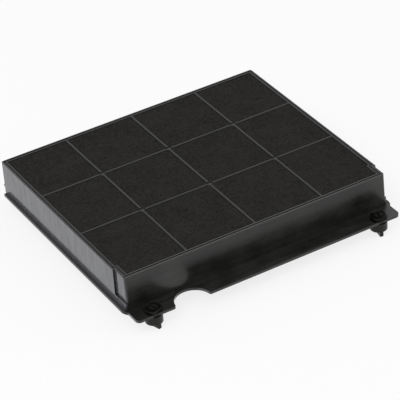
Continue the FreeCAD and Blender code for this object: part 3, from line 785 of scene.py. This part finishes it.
def floor_fleece_mesh(grid, fleece):
    """The floor fleece, slotted for the web feet, hanging a little into the windows."""
    low, high = FLOOR_FLEECE
    edge_x, edge_y = edge_lines(low, high, grid)
    slots = bridge_slots(high, grid)
    xs = grid_lines(edge_x + [value for slot in slots for value in slot[:2]], fleece.floor_cell)
    ys = grid_lines(edge_y + [value for slot in slots for value in slot[2:]], fleece.floor_cell)
    kept = inside_casing(xs, ys, high, grid)
    x, y = cell_middles(xs, ys)
    for left, right, front, rear in slots:
        kept &= ~((x > left) & (x < right) & (y > front) & (y < rear))
    x, y = np.meshgrid(xs, ys)
    to_rib, to_edge = distances(x, y, low, high, grid)
    over_window = np.minimum(to_rib - grid.floor_rib / 2, to_edge - grid.floor_margin)
    free = np.clip(over_window, 0.0, None)
    sag = (1.0 - np.exp(-free / fleece.sag_run)) * fleece.sag
    calm_reach = 0.75 * fleece.sag_run
    loose = np.clip(free / calm_reach, 0.0, 1.0)
    bottom = low.z - sag + unevenness(x, y, fleece, FLOOR_SEEDS) * loose
    top = np.full_like(bottom, high.z)
    return closed_sheet("floor_fleece_sheet", xs, ys, kept, top, bottom)


def fibre_tree():
    """Loose curved fibres laid on every face that looks up."""
    tree = bpy.data.node_groups.new("loose_fibres", "GeometryNodeTree")
    interface = tree.interface
    interface.new_socket("Geometry", in_out="INPUT", socket_type="NodeSocketGeometry")
    for name, kind in (("Density", "Float"), ("Length", "Float"), ("Radius", "Float"),
                       ("Seed", "Int"), ("Material", "Material")):
        interface.new_socket(name, in_out="INPUT", socket_type=f"NodeSocket{kind}")
    interface.new_socket("Geometry", in_out="OUTPUT", socket_type="NodeSocketGeometry")
    maker = Maker(tree)
    entry = tree.nodes.new("NodeGroupInput")
    given = {socket.name: Wire(maker, socket) for socket in entry.outputs if socket.name}
    length, radius, seed = given["Length"], given["Radius"], given["Seed"]
    up = maker.axis(maker.node("GeometryNodeInputNormal"), "Z")
    points = maker.node("GeometryNodeDistributePointsOnFaces", {}, {
        "Mesh": given["Geometry"], "Selection": up > FACING,
        "Density": given["Density"], "Seed": seed})
    # A fibre bows by a share of its length, rises by some radii and tilts by an angle
    bow, rise, tilt = 0.3, 4.0, 0.06
    line = maker.node("GeometryNodeCurveQuadraticBezier", {}, {
        "Resolution": 4, "Start": maker.vector(X=length * -0.5),
        "Middle": maker.vector(Y=length * bow, Z=radius * rise), "End": maker.vector(X=length * 0.5)})
    ring = maker.node("GeometryNodeCurvePrimitiveCircle", {}, {"Resolution": 3, "Radius": radius})
    fibre = maker.node("GeometryNodeCurveToMesh", {}, {
        "Curve": line, "Profile Curve": ring, "Fill Caps": True})
    turn = maker.random_vector((-tilt, -tilt, 0.0), (tilt, tilt, 2.0 * math.pi), seed)
    smallest, largest = 0.45, 1.3
    size = maker.random_number(smallest, largest, seed)
    laid = maker.node("GeometryNodeInstanceOnPoints", {}, {
        "Points": points, "Instance": fibre, "Rotation": turn, "Scale": size})
    real = maker.node("GeometryNodeRealizeInstances", {}, {"Geometry": laid})
    dressed = maker.node("GeometryNodeSetMaterial", {}, {
        "Geometry": real, "Material": given["Material"]})
    maker.node("NodeGroupOutput", {}, {"Geometry": dressed})
    return tree


def run_tree(tree, mesh, name, values):
    """The plain mesh that a tree makes of another mesh."""
    carrier = bpy.data.objects.new(name, mesh.copy())
    bpy.context.scene.collection.objects.link(carrier)
    modifier = carrier.modifiers.new(name, "NODES")
    modifier.node_group = tree
    for socket in tree.interface.items_tree:
        if socket.item_type == "SOCKET" and socket.in_out == "INPUT" and socket.name in values:
            modifier[socket.identifier] = values[socket.name]
    depsgraph = bpy.context.evaluated_depsgraph_get()
    made = bpy.data.meshes.new_from_object(carrier.evaluated_get(depsgraph))
    made.name = name
    carrier.modifiers.remove(modifier)
    bpy.data.objects.remove(carrier)
    return made


# Studio

def background_share(maker, share):
    """The given share for rays that show the background, and none for the rest."""
    rays = [maker.node("ShaderNodeLightPath", output=name)
            for name in ("Is Camera Ray", "Is Glossy Ray", "Is Transmission Ray")]
    return functools.reduce(Wire.most, rays) * share


def add_lamp(name, place, width, height, power):
    data = bpy.data.lights.new(name, "AREA")
    data.shape = "RECTANGLE"
    data.size = width
    data.size_y = height
    data.energy = power
    lamp = bpy.data.objects.new(name, data)
    bpy.context.scene.collection.objects.link(lamp)
    lamp.location = place
    lamp.rotation_euler = (Vector(LAMP_AIM) - Vector(place)).to_track_quat("-Z", "Y").to_euler()


def add_floor():
    """Lays the pale floor level with the part's foot."""
    level = CAD_BOX[0].z
    corners = [(x * FLOOR_REACH, y * FLOOR_REACH, level)
               for x, y in ((-1, -1), (1, -1), (1, 1), (-1, 1))]
    mesh = bpy.data.meshes.new("studio_floor")
    mesh.from_pydata(corners, [], [(0, 1, 2, 3)])
    floor = bpy.data.objects.new("studio_floor", mesh)
    bpy.context.scene.collection.objects.link(floor)
    material, maker = new_material("studio_white")
    paper = maker.node("ShaderNodeBsdfDiffuse", {}, {"Color": colour4(PAPER)})
    glow = maker.node("ShaderNodeEmission", {}, {"Color": colour4(WHITE), "Strength": 1.0})
    both = maker.node("ShaderNodeMixShader", {}, {
        0: background_share(maker, FLOOR_GLOW), 1: paper, 2: glow})
    maker.node("ShaderNodeOutputMaterial", {}, {"Surface": both})
    give_material(floor, material)


def light_world(strength):
    """White for rays that show the background, and light of the given strength for the rest."""
    world = bpy.data.worlds.new("studio_world")
    world.use_nodes = True
    maker = Maker(world.node_tree)
    sky = maker.node("ShaderNodeBackground", {}, {
        "Color": colour4(WHITE), "Strength": background_share(maker, 1.0 - strength) + strength})
    maker.node("ShaderNodeOutputWorld", {}, {"Surface": sky})
    bpy.context.scene.world = world


def add_camera(studio):
    """Looks at the target from its azimuth and elevation, turned by the roll."""
    azimuth, elevation, roll = studio.azimuth, studio.elevation, studio.roll
    back = Vector((math.sin(azimuth) * math.cos(elevation),
                   -math.cos(azimuth) * math.cos(elevation), math.sin(elevation)))
    right = Vector((0.0, 0.0, 1.0)).cross(back).normalized()
    up = back.cross(right)
    turned_right = right * math.cos(roll) + up * math.sin(roll)
    turned_up = up * math.cos(roll) - right * math.sin(roll)
    data = bpy.data.cameras.new("studio_camera")
    data.sensor_width = 36.0
    data.lens = studio.lens
    data.clip_start = 0.1
    data.clip_end = 20.0
    camera = bpy.data.objects.new("studio_camera", data)
    bpy.context.scene.collection.objects.link(camera)
    turn = Matrix((turned_right, turned_up, back)).transposed().to_4x4()
    camera.matrix_world = Matrix.Translation(Vector(studio.target) + back * studio.distance) @ turn
    bpy.context.scene.camera = camera


# Operators

class FILTER_OT_mouldings(bpy.types.Operator):
    """Finish the casing, the cover grid, the knobs and the lock cams"""
    bl_idname = "filter.mouldings"
    bl_label = "Finish Mouldings"

    def execute(self, context):
        colours = context.scene.filter_colours
        finish = context.scene.filter_finish
        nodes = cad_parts
        give_material(nodes["casing"], casing_plastic(finish, colours))
        give_material(nodes["cover_grid"], cover_plastic(finish, colours))
        knob = lock_plastic("knob_plastic", finish, colours.knob, ior=1.32)
        cam = lock_plastic("cam_plastic", finish, colours.cam, ior=1.2)
        for side in ("left", "right"):
            give_material(nodes[f"{side}_knob"], knob)
            give_material(nodes[f"{side}_lock_cam"], cam)
        return {"FINISHED"}


class FILTER_OT_carbon(bpy.types.Operator):
    """Give the carbon beds their granules"""
    bl_idname = "filter.carbon"
    bl_label = "Fill Carbon Beds"

    def execute(self, context):
        scene = context.scene
        granules = carbon_granules(scene.filter_finish, scene.filter_colours.carbon)
        for bed in BEDS:
            give_material(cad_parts[bed], granules)
        return {"FINISHED"}


class FILTER_OT_top_fleece(bpy.types.Operator):
    """Lay the top fleece under the cover's ribs, with loose fibres on it"""
    bl_idname = "filter.top_fleece"
    bl_label = "Lay Top Fleece"

    def execute(self, context):
        sizes = context.scene.filter_fleece
        mesh = top_fleece_mesh(context.scene.filter_grid, sizes)
        material = needled_fleece(sizes, context.scene.filter_colours.fleece)
        sheet = new_piece("top_fleece_sheet", mesh, "filter", material)
        loose = run_tree(fibre_tree(), mesh, "top_fleece_fibres", {
            "Density": sizes.fibre_density, "Length": sizes.fibre_length,
            "Radius": sizes.fibre_radius, "Seed": FIBRE_SEED, "Material": material})
        fibres = new_piece("top_fleece_fibres", loose, "filter", material)
        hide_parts("top_fleece")
        return {"FINISHED"}


class FILTER_OT_floor_fleece(bpy.types.Operator):
    """Lay the floor fleece over the casing's windows, in the top fleece's material"""
    bl_idname = "filter.floor_fleece"
    bl_label = "Lay Floor Fleece"

    def execute(self, context):
        mesh = floor_fleece_mesh(context.scene.filter_grid, context.scene.filter_fleece)
        sheet = new_piece("floor_fleece_sheet", mesh, "filter",
                          bpy.data.materials["needled_fleece"])
        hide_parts("floor_fleece")
        return {"FINISHED"}


class FILTER_OT_studio(bpy.types.Operator):
    """Set up the floor, the soft lamps and the camera"""
    bl_idname = "filter.studio"
    bl_label = "Set Up Studio"

    def execute(self, context):
        studio = context.scene.filter_studio
        add_floor()
        light_world(studio.sky)
        for name, (place, width, height) in LAMPS.items():
            add_lamp(f"{name}_lamp", place, width, height, getattr(studio, name))
        add_camera(studio)
        context.scene.view_settings.view_transform = "Standard"
        return {"FINISHED"}


class FILTER_PT_panel(bpy.types.Panel):
    """Lists the steps that dress the filter, and their settings"""
    bl_label = "Carbon Filter"
    bl_idname = "FILTER_PT_panel"
    bl_space_type = "VIEW_3D"
    bl_region_type = "UI"
    bl_category = "Filter"

    def draw(self, context):
        for step in STEPS:
            self.layout.operator(step.bl_idname)
        for group in GROUPS:
            settings = getattr(context.scene, group)
            for name in settings.bl_rna.properties.keys():
                if name not in ("rna_type", "name"):
                    self.layout.prop(settings, name)


STEPS = (FILTER_OT_mouldings, FILTER_OT_carbon, FILTER_OT_top_fleece, FILTER_OT_floor_fleece,
         FILTER_OT_studio)
GROUPS = {"filter_grid": GridSizes, "filter_fleece": FleeceSizes, "filter_colours": FinishColours,
          "filter_finish": FinishSizes, "filter_studio": StudioSizes}


def register():
    for group in GROUPS.values():
        bpy.utils.register_class(group)
    for step in STEPS:
        bpy.utils.register_class(step)
    bpy.utils.register_class(FILTER_PT_panel)
    for name, group in GROUPS.items():
        setattr(bpy.types.Scene, name, bpy.props.PointerProperty(type=group))


def unregister():
    for name in GROUPS:
        delattr(bpy.types.Scene, name)
    bpy.utils.unregister_class(FILTER_PT_panel)
    for step in reversed(STEPS):
        bpy.utils.unregister_class(step)
    for group in reversed(GROUPS.values()):
        bpy.utils.unregister_class(group)


def main():
    register()
    for step in STEPS:
        group, name = step.bl_idname.split(".")
        getattr(getattr(bpy.ops, group), name)()


if __name__ == "__main__":
    main()
